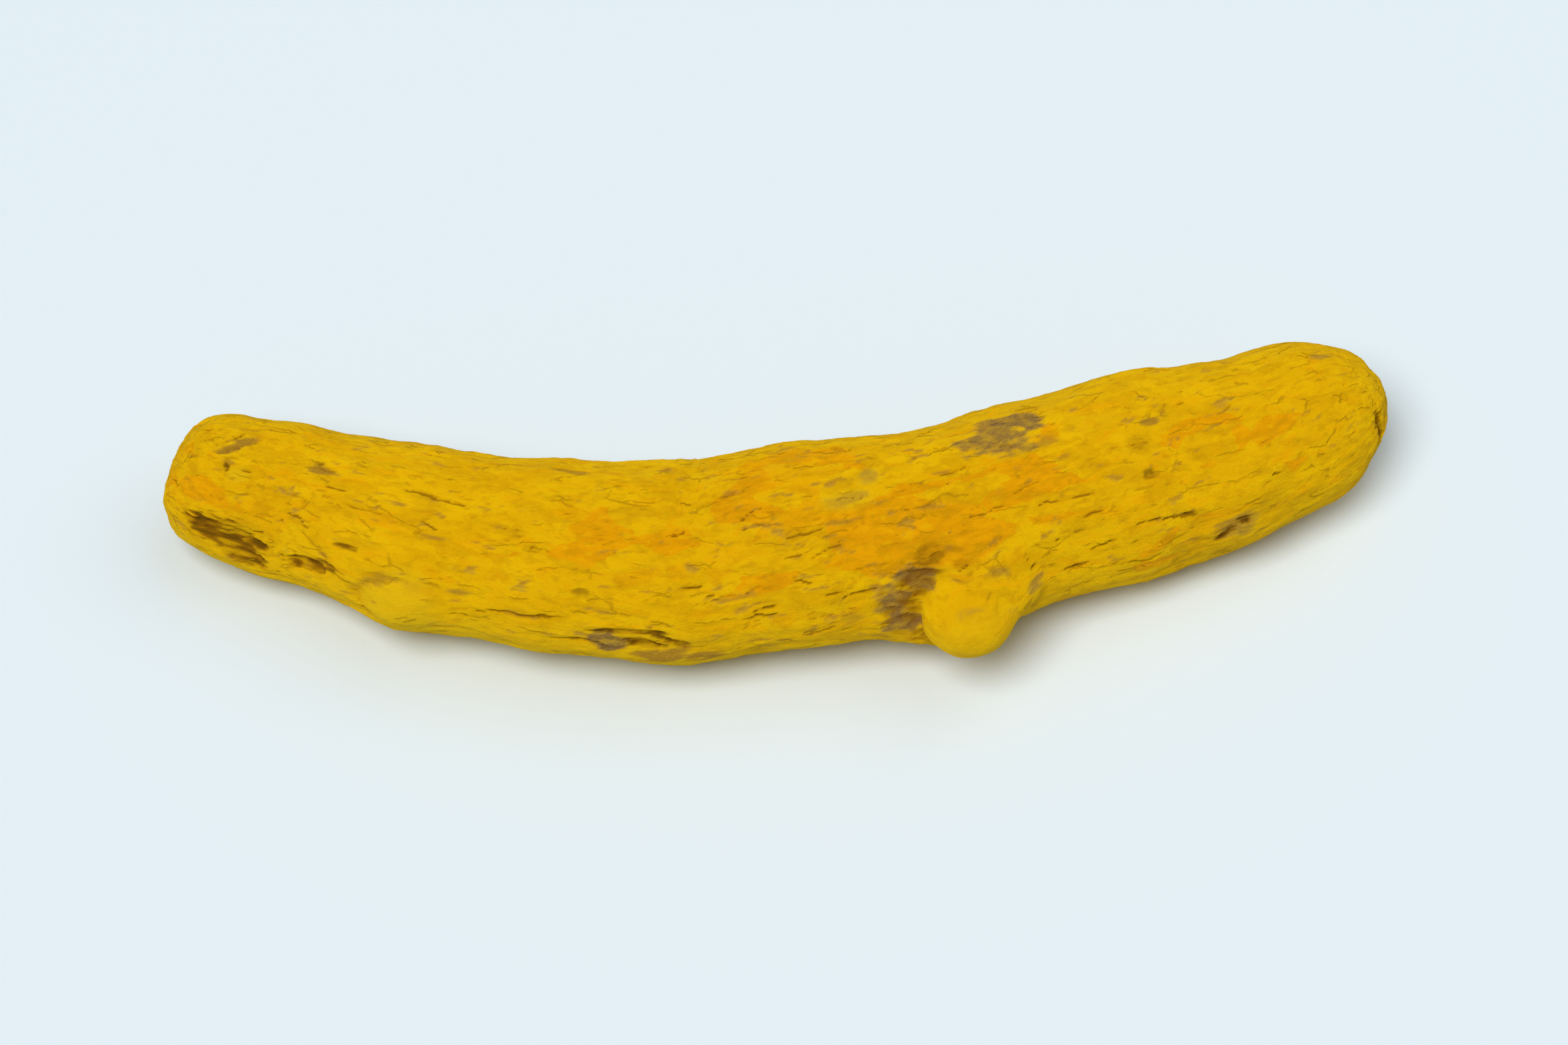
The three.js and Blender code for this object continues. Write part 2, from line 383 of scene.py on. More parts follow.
# Skin detail, in millimetres unless said.
bark = {
    "plateSize": (5.2, 1.9, 1.9),
    "plateSalt": 7,
    "plateSway": 0.4,  # share of the sway that bends the plates
    "plateStep": 0.08,
    "plateCalm": 0.35,  # share of the step that is left where nothing flakes
    "flakingPatchy": 0.3,
    "gapDepth": 0.06,
    "gapShade": 0.35,
    "crackHalfWidth": 0.12,
    "crackDepth": 0.24,
    "crackResponse": 0.9,  # how strongly the cracks follow the crackedness
    "crackBeside": 0.5,  # how far the wear beside a crack reaches
    "hairHalfWidth": 0.09,
    "hairDepth": 0.08,
    "hairResponse": 0.8,
    "singleBeside": 0.55,
    "singleFull": 0.28,  # depth at which a single crack is darkest
    "lip": 0.05,  # how far the skin curls up beside a crack
    "lipOffset": 0.4,
    "lipWidth": 0.2,
    "fleckDepth": 0.04,
    "fleckBeside": 0.34,
    "fleckResponse": 0.5,
    # the rim is painted shadow: rust along the upper edge of each sunk fleck
    "rimShadeSteps": 2,  # grid steps from a fleck to its upper rim
    "crumbHeight": 0.14,
    "dustCrumbs": 0.5,  # share of it in the dust
    "budBareness": 0.75,  # share of the bark's marks that the side bud lacks
    "budLumps": 0.4,
    "budGreen": 0.45,
}


# One of the noise fields at each point.
def field(name, point):
    size, salt, layers, height = fields[name]
    return height * layeredNoise(point, size, salt, layers)


def softStep(name, value):
    return ease(*edges[name], value)


# How cracked the skin is along the finger: share of the length, and amount.
crackedness = (
    (0, 0.42), (0.12, 0.5), (0.3, 0.38), (0.5, 0.62), (0.6, 0.58), (0.68, 0.42), (0.8, 0.34), (0.88, 0.22),
    (1, 0.1),
)

# Single cracks: share of the length, degrees round, length, half width, depth, slant in degrees.
cracks = (
    (0.223, 84, 4.4, 0.16, 0.34, -7),
    (0.126, 46, 2.2, 0.14, 0.26, -20),
    (0.176, 65, 2.6, 0.12, 0.2, 3),
    (0.222, 66, 1.2, 0.14, 0.24, -20),
    (0.298, 18, 6, 0.13, 0.26, 7),
    (0.338, 1, 3.4, 0.15, 0.32, -10),
    (0.244, 119, 2, 0.13, 0.2, 2),
    (0.319, 123, 3.2, 0.14, 0.26, 0),
    (0.049, 92, 3.4, 0.15, 0.28, 35),
    (0.132, 87, 2.6, 0.15, 0.28, -4),
    (0.361, 101, 2.4, 0.11, 0.16, 3),
    (0.443, 92, 3, 0.1, 0.14, 2),
    (0.508, 63, 2.4, 0.16, 0.28, 0),
    (0.615, 104, 5.6, 0.11, 0.2, -6),
    (0.648, 57, 2.6, 0.14, 0.24, 0),
    (0.706, 54, 3.8, 0.13, 0.28, 3),
    (0.683, 66, 2, 0.12, 0.2, 0),
    (0.767, 77, 3.2, 0.11, 0.18, -2),
    (0.787, 30, 5.4, 0.13, 0.26, -2),
    (0.71, 12, 1.8, 0.17, 0.34, 12),
    (0.766, 4, 2.6, 0.13, 0.26, 6),
    (0.733, 22, 1.6, 0.13, 0.24, 5),
    (0.856, 84, 1.8, 0.11, 0.2, 20),
    (0.45, 36, 4.6, 0.1, 0.18, 2),
    (0.56, 38, 4, 0.1, 0.18, -3),
    (0.525, 52, 2.6, 0.13, 0.24, 5),
    (0.485, 72, 2.2, 0.11, 0.2, -3),
    (0.545, 24, 2.8, 0.13, 0.24, 3),
    (0.6, 66, 2.4, 0.12, 0.2, -4),
    (0.17, 205, 6, 0.16, 0.34, -4),
    (0.33, 232, 5.2, 0.15, 0.3, 3),
    (0.55, 190, 6.4, 0.17, 0.36, 5),
    (0.7, 225, 5, 0.15, 0.3, -5),
    (0.82, 180, 4.4, 0.15, 0.3, 6),
    (0.26, 160, 4.8, 0.14, 0.3, -3),
    (0.46, 150, 5, 0.14, 0.28, 4),
)

# Patches on the skin: share of the length, degrees round, half length, half width, slant in
# degrees, depth, strength.
patches = {
    "scar": (
        (0.046, 18, 1.9, 1.4, -10, 0.3, 1),
        (0.07, 10, 2.7, 1.4, -20, 0.35, 0.9),
        (0.14, 14, 2.3, 0.55, 10, 0.35, 0.95),
        (0.157, 18, 1.2, 0.6, 0, 0.3, 0.8),
        (0.17, 38, 0.9, 0.25, 5, 0.2, 0.7),
        (0.046, 70, 0.3, 0.5, 20, 0.2, 0.8),
        (0.041, 98, 1.5, 0.16, 38, 0.2, 0.7),
        (0.122, 92, 1.0, 0.16, -5, 0.18, 0.7),
        (0.372, 13, 2.8, 0.42, 3, 0.35, 1),
        (0.4, 7, 1.6, 0.35, -22, 0.3, 0.9),
        (0.383, 2, 1.5, 0.55, -8, 0.4, 1),
        (0.291, 68, 0.7, 0.5, 0, 0.15, 0.5),
        (0.339, 38, 0.8, 0.35, 0, 0.12, 0.5),
        (0.776, 57, 0.7, 0.5, 20, 0.22, 0.55),
        (0.838, 3, 1.0, 0.42, 35, 0.4, 1),
        (0.851, 10, 0.8, 0.36, -60, 0.35, 0.9),
        (0.805, 28, 0.9, 0.3, 0, 0.2, 0.7),
        (0.98, 18, 0.42, 2.3, 0, 0.4, 1),
        (0.41, 200, 1.7, 1.2, 10, 0.25, 0.8),
        (0.24, 250, 2.2, 1, -10, 0.25, 0.75),
        (0.73, 160, 1.5, 1, 15, 0.25, 0.7),
    ),
    "dust": (
        (0.674, 105, 2.9, 2.3, -4, 0.03, 0.7),
        (0.694, 113, 1.7, 1.9, 12, 0.08, 1),
        (0.567, 93, 0.8, 0.8, 0, 0, 0.4),
        (0.545, 79, 1.7, 0.7, 0, 0, 0.35),
        (0.567, 14, 1.4, 1.6, 0, 0.1, 0.75),
        (0.588, 28, 1.7, 0.9, -20, 0.15, 0.9),
        (0.572, -2, 1.8, 0.8, 0, 0.15, 0.8),
        (0.676, 12, 0.9, 0.7, 0, 0.05, 0.55),
        (0.634, 24, 1.8, 0.6, 0, 0.05, 0.5),
        (0.358, 4, 1.5, 1.1, -35, 0, 1),
        (0.956, 108, 0.9, 0.45, 15, 0, 0.45),
        (0.846, 6, 1.7, 1.4, 20, 0.12, 0.5),
        (0.62, 210, 3, 1.8, 10, 0.1, 0.6),
    ),
    "tan": (
        (0.402, -7, 3, 0.9, -2, 0, 0.95),
        (0.251, 26, 0.8, 0.3, 0, 0.04, 0.7),
        (0.319, 120, 1.4, 0.4, 0, 0.04, 0.7),
        (0.132, 86, 1.5, 0.45, -5, 0.08, 0.9),
        (0.047, 92, 1.9, 0.4, 38, 0.08, 0.9),
        (0.194, 22, 0.6, 0.35, 0, 0, 0.5),
        (0.796, 90, 1.1, 0.35, 8, 0.05, 0.9),
        (0.54, 66, 1.2, 0.3, 0, 0.04, 0.6),
        (0.709, 92, 0.7, 0.6, 0, 0.05, 0.6),
        (0.531, 9, 1.1, 0.6, 0, 0.05, 0.4),
    ),
    "green": (
        (0.212, 6, 2.6, 3, 0, 0, 1),
        (0.057, 68, 0.9, 0.6, 20, 0.15, 1),
        (0.545, 79, 2.2, 1, 0, 0, 0.6),
        (0.567, 93, 1, 1, 0, 0, 0.6),
    ),
    "orange": (
        (0.51, 84, 7.5, 5.5, 0, 0, 1),
        (0.6, 55, 5, 4.5, 0, 0, 0.9),
        (0.71, 68, 5, 3, 0, 0, 0.7),
        (0.8, 5, 4, 3, 10, 0, 0.8),
        (0.83, 68, 3.5, 2.5, 0, 0, 0.7),
        (0.9, 56, 3, 3, 0, 0, 0.7),
        (0.38, 66, 5, 4, 0, 0, 0.65),
        (0.27, 66, 2.5, 2, 0, 0, 0.6),
        (0.46, 48, 4, 2.5, 0, 0, 0.8),
        (0.712, 98, 1.2, 1.6, 0, 0, 1),
        (0.02, 60, 3, 6, 0, 0, 0.6),
        (0.35, 190, 6, 4, 0, 0, 0.8),
        (0.75, 200, 6, 4, 0, 0, 0.8),
    ),
}


# How far the uneven edge of each kind of patch eats in.
patchRagged = {"scar": 0.5, "dust": 0.45, "tan": 0.5, "green": 0.4, "orange": 0.5}


# Distances from a mark's middle, in its own slanted directions, in millimetres.
def markPlace(share, turn, at, degrees, slant):
    lengthwise = (share - at) * finger["length"]
    crosswise = turned(turn, degrees) * radiusAt(share)
    cosine, sine = math.cos(math.radians(slant)), math.sin(math.radians(slant))
    return lengthwise * cosine + crosswise * sine, crosswise * cosine - lengthwise * sine


# Cover from 0 to 1, and depth, of one kind of patch: a soft step up from the rim of each ellipse,
# 1 - sqrt((along/halfLength)^2 + (across/halfWidth)^2), with a ragged field added.
def patchCover(kind, share, turn, ragged):
    cover = np.zeros_like(share)
    sunk = np.zeros_like(share)
    for at, degrees, halfLength, halfWidth, slant, depth, strength in patches[kind]:
        along, across = markPlace(share, turn, at, degrees, slant)
        inside = 1 - np.hypot(along / halfLength, across / halfWidth) + patchRagged[kind] * ragged
        cover = np.maximum(cover, strength * softStep("patchCover", inside))
        sunk = np.maximum(sunk, depth * softStep("patchSunk", inside))
    return cover, sunk


# The listed cracks: each a line that sways, halfWidth * sqrt(1 - (2*along/length)^2) wide to
# either side. Gives the depth of the cut, and how close beside it a point lies, from 0 to 1.
def singleCracks(share, turn, straight):
    cut = np.zeros_like(share)
    beside = np.zeros_like(share)
    sway = field("singleSway", straight) + field("singleShiver", straight)
    for at, degrees, length, halfWidth, depth, slant in cracks:
        along, across = markPlace(share, turn, at, degrees, slant)
        across = across + sway
        taper = np.clip(1 - (2 * along / length) ** 2, 0, 1)
        opening = np.sqrt(taper) * halfWidth
        wall = 1 - softStep("singleWall", np.abs(across) / (opening + tiny))
        cut = np.maximum(cut, depth * wall * (taper > 0))
        beside = np.maximum(beside, np.exp(-(across / bark["singleBeside"]) ** 2) * taper)
    return cut, beside


# Cracks, or hairlines, along the noughts of a noise field. They have an even width where a second
# field and the crackedness let them open, and none elsewhere.
def contourCracks(kind, straight, wavy, grid, amount):
    allowed = field(kind + "Opening", straight) + bark[kind + "Response"] * (amount - 0.5)
    opening = softStep(kind + "Opening", allowed)
    distance = lineDistance(field(kind, wavy), grid)
    wall = 1 - softStep("crackWall", distance / (bark[kind + "HalfWidth"] * opening + tiny))
    return wall * softStep("opened", opening), opening, distance


# Dark, crumbly collar that hugs the bud's upper side: exp(-(angle/spread)^2) round from its
# bearing, between a soft step up at the ball's edge and a ragged one down farther out.
def budCollar(position, bearing, ragged):
    difference = bearing - sideBud["collarBearing"]
    away = np.arctan2(np.sin(difference), np.cos(difference))
    side = np.exp(-(away / sideBud["collarSpread"]) ** 2)
    outside = 1 - ease(*sideBud["collarOuter"], position + sideBud["collarRagged"] * ragged)
    return side * outside * ease(*sideBud["collarInner"], position - sideBud["ballShare"])


# How smooth the side bud's skin is, from 0 to 1: a soft-edged disc that sits low on it.
def budSmoothness(position, bearing):
    across = position * np.cos(bearing)
    up = position * np.sin(bearing) + sideBud["smoothShift"]
    return 1 - ease(*sideBud["smoothSkin"], np.hypot(across, up))


# The sleeping bud's scale, in millimetres but for its place.
sleepingScale = {
    "share": 0.209,
    "degrees": 5,
    "height": 1.0,
    "reach": 1.8,
    "seamRadius": 2.25,
    "seamHalfWidth": 0.34,
    "seamDepth": 0.4,
    "seamRagged": 0.4,
    "seamFade": (1, -1.5),  # from the growing side to the blunt side
    "seamLean": 0.5,
    "seamTan": 0.5,  # strength of its colour
}


# Height and seam of the sleeping bud: a dome, height * exp(-(distance/reach)^2), and a seam that
# follows a circle round it, deepest towards the blunt tip.
def sleepingBud(share, turn, ragged):
    scale = sleepingScale
    along, across = markPlace(share, turn, scale["share"], scale["degrees"], 0)
    distance = np.hypot(along, across)
    offCircle = distance + scale["seamRagged"] * ragged - scale["seamRadius"]
    fade = ease(*scale["seamFade"], along - scale["seamLean"] * across)
    seam = np.exp(-(offCircle / scale["seamHalfWidth"]) ** 2) * fade
    return scale["height"] * np.exp(-(distance / scale["reach"]) ** 2) - scale["seamDepth"] * seam, seam


# Height of the skin detail over the smooth skin, what the colours need to know, and each point's
# place as if the finger were straight. The height is a sum: noise and plates, less cracks, flecks
# and patches, with crumbs, collar and dome, and it fades to nought at the tips.
def skinDetail(share, turn, grid, position, bearing):
    rounding = endRounding(share)
    reach = finger["thickness"] / 2 * rounding
    straight = np.stack([share * finger["length"], reach * np.cos(turn), reach * np.sin(turn)])
    sway = np.stack([field(name, straight) for name in ("swayAlong", "swayAcross", "swayUp")])
    wavy = straight + sway
    amount = np.interp(share, *zip(*crackedness))
    patchy = field("patchy", straight)
    ragged = field("ragged", straight)
    crumbs = field("crumbs", straight)
    onBud = budSmoothness(position, bearing)
    bareness = 1 - bark["budBareness"] * onBud

    # Plates, and the gaps between them.
    orangeZone = patchCover("orange", share, turn, patchy)[0]
    flaking = softStep("flaking", orangeZone + bark["flakingPatchy"] * patchy)
    border, tone = plates(straight + bark["plateSway"] * sway, bark["plateSize"], bark["plateSalt"])
    plateShare = bark["plateCalm"] + (1 - bark["plateCalm"]) * flaking
    plateHeight = (tone - 0.5) * bark["plateStep"] * softStep("plateTop", border) * plateShare
    gap = (1 - softStep("plateGap", border)) * flaking

    # Cracks, and the wear beside them.
    crack, opening, crackDistance = contourCracks("crack", straight, wavy, grid, amount)
    hair = contourCracks("hair", straight, wavy, grid, amount)[0]
    single, besideSingle = singleCracks(share, turn, straight)
    besideCrack = np.exp(-(crackDistance / bark["crackBeside"]) ** 2) * opening
    beside = np.maximum(besideCrack, besideSingle)
    wear = bark["fleckBeside"] * beside + bark["fleckResponse"] * (amount - 0.5)
    worn = softStep("fleck", field("fleck", wavy) + wear) * bareness
    wornGrid = worn.reshape(grid.shape[:2])
    # Painted shadow: rust along the upper rim of each sunk fleck, as if lit from above.
    rimShade = np.clip(wornGrid - np.roll(wornGrid, -bark["rimShadeSteps"], axis=1), 0, 1).ravel()

    # Patches, the collar and the sleeping bud.
    scar, scarDepth = patchCover("scar", share, turn, ragged)
    dust, dustDepth = patchCover("dust", share, turn, ragged)
    tan, tanDepth = patchCover("tan", share, turn, ragged)
    green = patchCover("green", share, turn, patchy)[0]
    dust = dust * softStep("dustOffBall", position)
    collar = budCollar(position, bearing, ragged)
    dome, seam = sleepingBud(share, turn, ragged)
    tan = np.maximum(tan, sleepingScale["seamTan"] * seam * softStep("seamTan", crumbs))

    uneven = field("uneven", straight)
    soft = uneven + field("wrinkle", wavy) + field("grain", straight)
    lumps = field("lumps", straight) * (1 - bark["budLumps"] * onBud)
    fine = crack * bark["crackDepth"] + hair * bark["hairDepth"] + gap * bark["gapDepth"]
    lip = bark["lip"] * np.exp(-((crackDistance - bark["lipOffset"]) / bark["lipWidth"]) ** 2) * opening
    sunk = np.maximum(fine, single) - lip + worn * bark["fleckDepth"]
    sunk += np.maximum.reduce([scarDepth, dustDepth, tanDepth])
    crumbly = (scar + bark["dustCrumbs"] * dust + collar) * crumbs * bark["crumbHeight"]
    height = soft + lumps + (plateHeight - sunk) * bareness + crumbly
    height = (height - collar * sideBud["collarDepth"] + dome) * softStep("fromTip", rounding)

    colours = {
        "crack": np.clip(np.maximum(crack, single / bark["singleFull"]), 0, 1) * bareness,
        "hair": np.clip(np.maximum(hair, gap * bark["gapShade"]), 0, 1) * bareness,
        "worn": worn,
        # Painted shadow along the upper rim of the worn flecks.
        "rimShade": rimShade * bareness,
        "orange": orangeZone * bareness,
        "green": np.maximum(green, bark["budGreen"] * onBud),
        "bud": onBud,
        # Painted shade: green-yellow on the underside of the blunt half.
        "low": softStep("undersideShade", turn) * softStep("bluntHalf", share),
        "scar": scar * bareness,
        "dust": dust * bareness,
        "collar": collar,
        "tan": tan * bareness,
        "crumbs": crumbs * 0.5 + 0.5,
        # Painted shade: ochre in the hollows, where the skin sinks below its uneven surface.
        "hollowShade": softStep("hollowShade", uneven - height),
    }
    return height, colours, straight


# Shares of the length at which the rings sit: evenly spaced, but crowded together at the tips as
# the square of the ring's number, and closer over the bud, where their density is a bell shape.
def ringShares():
    count = finger["ringsAlong"]
    step = np.arange(count + 2) / (count + 1)
    fromTip = np.minimum(step, 1 - step)
    limit = finger["crowding"]
    eased = np.where(fromTip < limit, fromTip ** 2 / (2 * limit), fromTip - limit / 2) / (1 - limit)
    share = np.where(step < 0.5, eased, 1 - eased)
    even = np.linspace(0, 1, 2001)
    fromBud = (even - sideBud["share"]) / finger["budCrowdingReach"]
    density = 1 + finger["budCrowding"] * np.exp(-fromBud ** 2)
    total = np.concatenate([[0], np.cumsum((density[1:] + density[:-1]) / 2)])
    return np.interp(share, total / total[-1], even)


# The map lies the grid out flat: once round is its width, and tip to tip its height.
def ringMap(count, around):
    ring = np.arange(around)
    column = np.stack([ring, ring, ring + 1, ring + 1], axis=-1)
    level = np.arange(count - 1)[:, None, None] + np.array([0, 1, 1, 0])
    quadMap = np.stack([
        np.broadcast_to(column, (count - 1, around, 4)) / around,
        (np.broadcast_to(level, (count - 1, around, 4)) + 1) / (count + 1),
    ], axis=-1).reshape(-1, 2)
    middle = (ring + 0.5) / around
    bluntMap = np.stack([
        np.stack([middle, ring / around, (ring + 1) / around], axis=-1),
        np.broadcast_to([0, 1 / (count + 1), 1 / (count + 1)], (around, 3)),
    ], axis=-1).reshape(-1, 2)
    growingMap = np.stack([
        np.stack([middle, (ring + 1) / around, ring / around], axis=-1),
        np.broadcast_to([1, count / (count + 1), count / (count + 1)], (around, 3)),
    ], axis=-1).reshape(-1, 2)
    return np.concatenate([quadMap, bluntMap, growingMap]).astype(np.float32)


# Mesh from a grid of points whose rows are rings: quads between the rings, and a fan at each tip.
def ringMesh(name, rows, tips):
    count, around = rows.shape[:2]
    ring = np.arange(around)
    following = (ring + 1) % around
    first = np.arange(count - 1)[:, None] * around
    quads = np.stack([
        first + ring, first + around + ring, first + around + following, first + following,
    ], axis=-1).reshape(-1, 4)
    blunt, growing = count * around, count * around + 1
    last = (count - 1) * around
    bluntFan = np.stack([np.full(around, blunt), ring, following], axis=-1)
    growingFan = np.stack([np.full(around, growing), last + following, last + ring], axis=-1)
    points = np.concatenate([rows.reshape(-1, 3), tips])
    corners = np.concatenate([quads.ravel(), bluntFan.ravel(), growingFan.ravel()])
    sizes = np.concatenate([np.full(len(quads), 4), np.full(2 * around, 3)])
    mesh = bpy.data.meshes.new(name)
    mesh.vertices.add(len(points))
    mesh.vertices.foreach_set("co", points.ravel())
    mesh.loops.add(len(corners))
    mesh.loops.foreach_set("vertex_index", corners)
    mesh.polygons.add(len(sizes))
    mesh.polygons.foreach_set("loop_start", np.concatenate([[0], np.cumsum(sizes)[:-1]]))
    mesh.polygons.foreach_set("loop_total", sizes)
    mesh.polygons.foreach_set("use_smooth", np.ones(len(sizes), bool))
    uv = mesh.uv_layers.new(name="OFBake")
    uv.data.foreach_set("uv", ringMap(count, around).ravel())
    mesh.update(calc_edges=True)
    mesh.validate()
    return mesh


# Values on the grid as values on the mesh: the rings between the tips, then one mean for each tip.
def meshValues(values, around):
    rings = values.reshape(-1, around)
    return np.concatenate([rings[1:-1].ravel(), [rings[0].mean(), rings[-1].mean()]]).astype(np.float32)


# The whole skin: budded smooth skin fitted to the CAD node's box, pushed along its own normals by
# the skin detail, and pressed flat where it meets the table.
def makeSkin():
    share = ringShares()
    around = finger["stepsAround"]
    turn = 2 * math.pi * np.arange(around) / around - math.pi / 2
    shareGrid, turnGrid = (g.ravel() for g in np.meshgrid(share, turn, indexing="ij"))
    smooth, position, bearing = buddedSkin(shareGrid, turnGrid)
    low, high = smooth.min(axis=1), smooth.max(axis=1)
    low[2] = 0
    fit = np.array([1, 1, cadSize[2] / high[2]])
    middle = np.array([(low[0] + high[0]) / 2, (low[1] + high[1]) / 2, 0])
    smooth = (smooth - middle[:, None]) * fit[:, None]
    print("turmeric: smooth skin", np.round(high - low, 2), "for a box of", np.round(cadSize, 2))

    grid = smooth.T.reshape(len(share), around, 3)
    alongGrid = np.gradient(grid, axis=0)
    aroundGrid = np.roll(grid, -1, axis=1) - np.roll(grid, 1, axis=1)
    normal = np.cross(alongGrid, aroundGrid)
    normal /= np.maximum(np.linalg.norm(normal, axis=2, keepdims=True), tiny)
    height, colours, straight = skinDetail(shareGrid, turnGrid, grid, position, bearing)
    points = grid + normal * height.reshape(grid.shape[:2])[:, :, None]
    points[:, :, 2] = np.maximum(points[:, :, 2], 0)
    print("turmeric: skin detail from", round(height.min(), 2), "to", round(height.max(), 2), "mm")

    rows = points[1:-1] * millimetre
    tips = np.array([points[0].mean(axis=0), points[-1].mean(axis=0)]) * millimetre
    mesh = ringMesh("turmeric_skin", rows, tips)
    for label, values in colours.items():
        attribute = mesh.attributes.new(label, "FLOAT", "POINT")
        attribute.data.foreach_set("value", meshValues(values, around))
    where = np.stack([meshValues(values, around) for values in straight], axis=-1)
    mesh.attributes.new("straight", "FLOAT_VECTOR", "POINT").data.foreach_set("vector", where.ravel())
    skin = bpy.data.objects.new("turmeric_skin", mesh)
    bpy.context.scene.collection.objects.link(skin)
    return skin


# Colours are linear red, green, blue.
driedSkinLook = {
    "yellow": (0.76, 0.442, 0.0008, 1),
    "paleYellow": (0.82, 0.51, 0.0015, 1),
    "orange": (0.83, 0.392, 0.0006, 1),
    "deepOrange": (0.76, 0.335, 0.0006, 1),
    "ochreAndShade": (0.58, 0.31, 0.002, 1),
    "greenYellowAndShade": (0.76, 0.505, 0.006, 1),
    "wornBark": (0.56, 0.325, 0.03, 1),
    "rustAndShade": (0.38, 0.165, 0.004, 1),
    "tanBark": (0.38, 0.2, 0.02, 1),
    "greyBark": (0.25, 0.145, 0.045, 1),
    "brown": (0.25, 0.1, 0.003, 1),
    "darkBark": (0.14, 0.062, 0.003, 1),
}

# Noise patterns of the colour: scale, stretch along the finger, detail, distortion.
skinPatterns = {
    "soft": (0.4, 1.8, 3, 0),
    "blotch": (1.1, 2.4, 4, 0.5),
    "fleck": (3, 2, 3, 0.4),
    "fine": (8, 1.6, 3, 0),
    "mottle": (1.9, 1.7, 3, 0.3),
    "stretches": (0.9, 1.6, 2, 0),
}

# Cell patterns: scale and sway of the warp, scale and stretch of the cells, feature and output.
skinCells = {
    "chips": (1.6, (0.9, 0.6, 0.6), 1.05, 2, "F1", "Color"),
    "flakes": (0.9, (1.4, 0.8, 0.8), 0.5, 2.3, "F1", "Color"),
    "borders": (0.9, (1.4, 0.8, 0.8), 0.7, 3.4, "DISTANCE_TO_EDGE", "Distance"),
}

# Shades laid over the yellow in this order: pattern, where it starts and is full, cover, colour.
skinShades = (
    ("blotch", 0.52, 0.66, 0.5, "orange"),
    ("chips", 0.55, 0.72, 0.24, "ochreAndShade"),
    ("chips", 0.44, 0.26, 0.35, "paleYellow"),
    ("zone", 0.89, 1, 0.8, "flake"),
    ("blotch", 0.46, 0.32, 0.35, "ochreAndShade"),
    ("mottle", 0.52, 0.68, 0.4, "ochreAndShade"),
    ("mottle", 0.46, 0.32, 0.5, "paleYellow"),
)

# Soft steps of the masks: low edge, high edge, result below the one, result above the other.
skinMasks = {
    "pale": (0.35, 0.68, 0, 1),
    "freshFlake": (0.4, 0.62, 0, 1),
    "fineOchre": (0.55, 0.75, 0, 0.3),
    "wornFleck": (0.38, 0.52, 0.15, 0.8),
    "border": (0.045, 0.004, 0, 1),
    "stretch": (0.51, 0.63, 0, 1),
    "offBud": (0.6, 0, 0, 1),
    "brokenCrack": (0.25, 0.8, 0, 0.62),
    "speckle": (0.3, 0.6, 0.75, 1),
    "dust": (0, 0.9, 0, 1),
    "dustMottle": (0.35, 0.6, 0.65, 1),
    "stripe": (0.25, 0.5, 0, 1),
    "scar": (0.05, 0.9, 0, 1),
    "scarCrumbs": (0.8, 0.42, 0.15, 0.9),
    "collarCrumbs": (0.75, 0.4, 0.2, 1),
    "roughness": (0.3, 0.7, 0.85, 1),
}

# Cover of the marks and of the hairlines.
skinCover = {
    "orange": 0.6,  # how far an orange zone helps the flakes to show
    "green": 0.7,
    # The next three cover painted shade: green-yellow under the blunt half, ochre in the hollows, rust
    # along the upper rim of worn flecks.
    "low": 0.4,
    "hollowShade": 0.5,
    "rimShade": 0.35,
    "hairline": 0.42,
    "hair": 0.35,
}

# The bump's patterns and shares, and the rest of the finish.
skinFinish = {
    "bump": (("fine", 0.5), ("fleck", 0.5), ("chips", -0.35), ("hairline", -0.4)),
    "bumpStrength": 0.9,
    "bumpHeight": 0.0002,  # metres
    "specular": 0.04,
    "diffuseRoughness": 0.6,
}


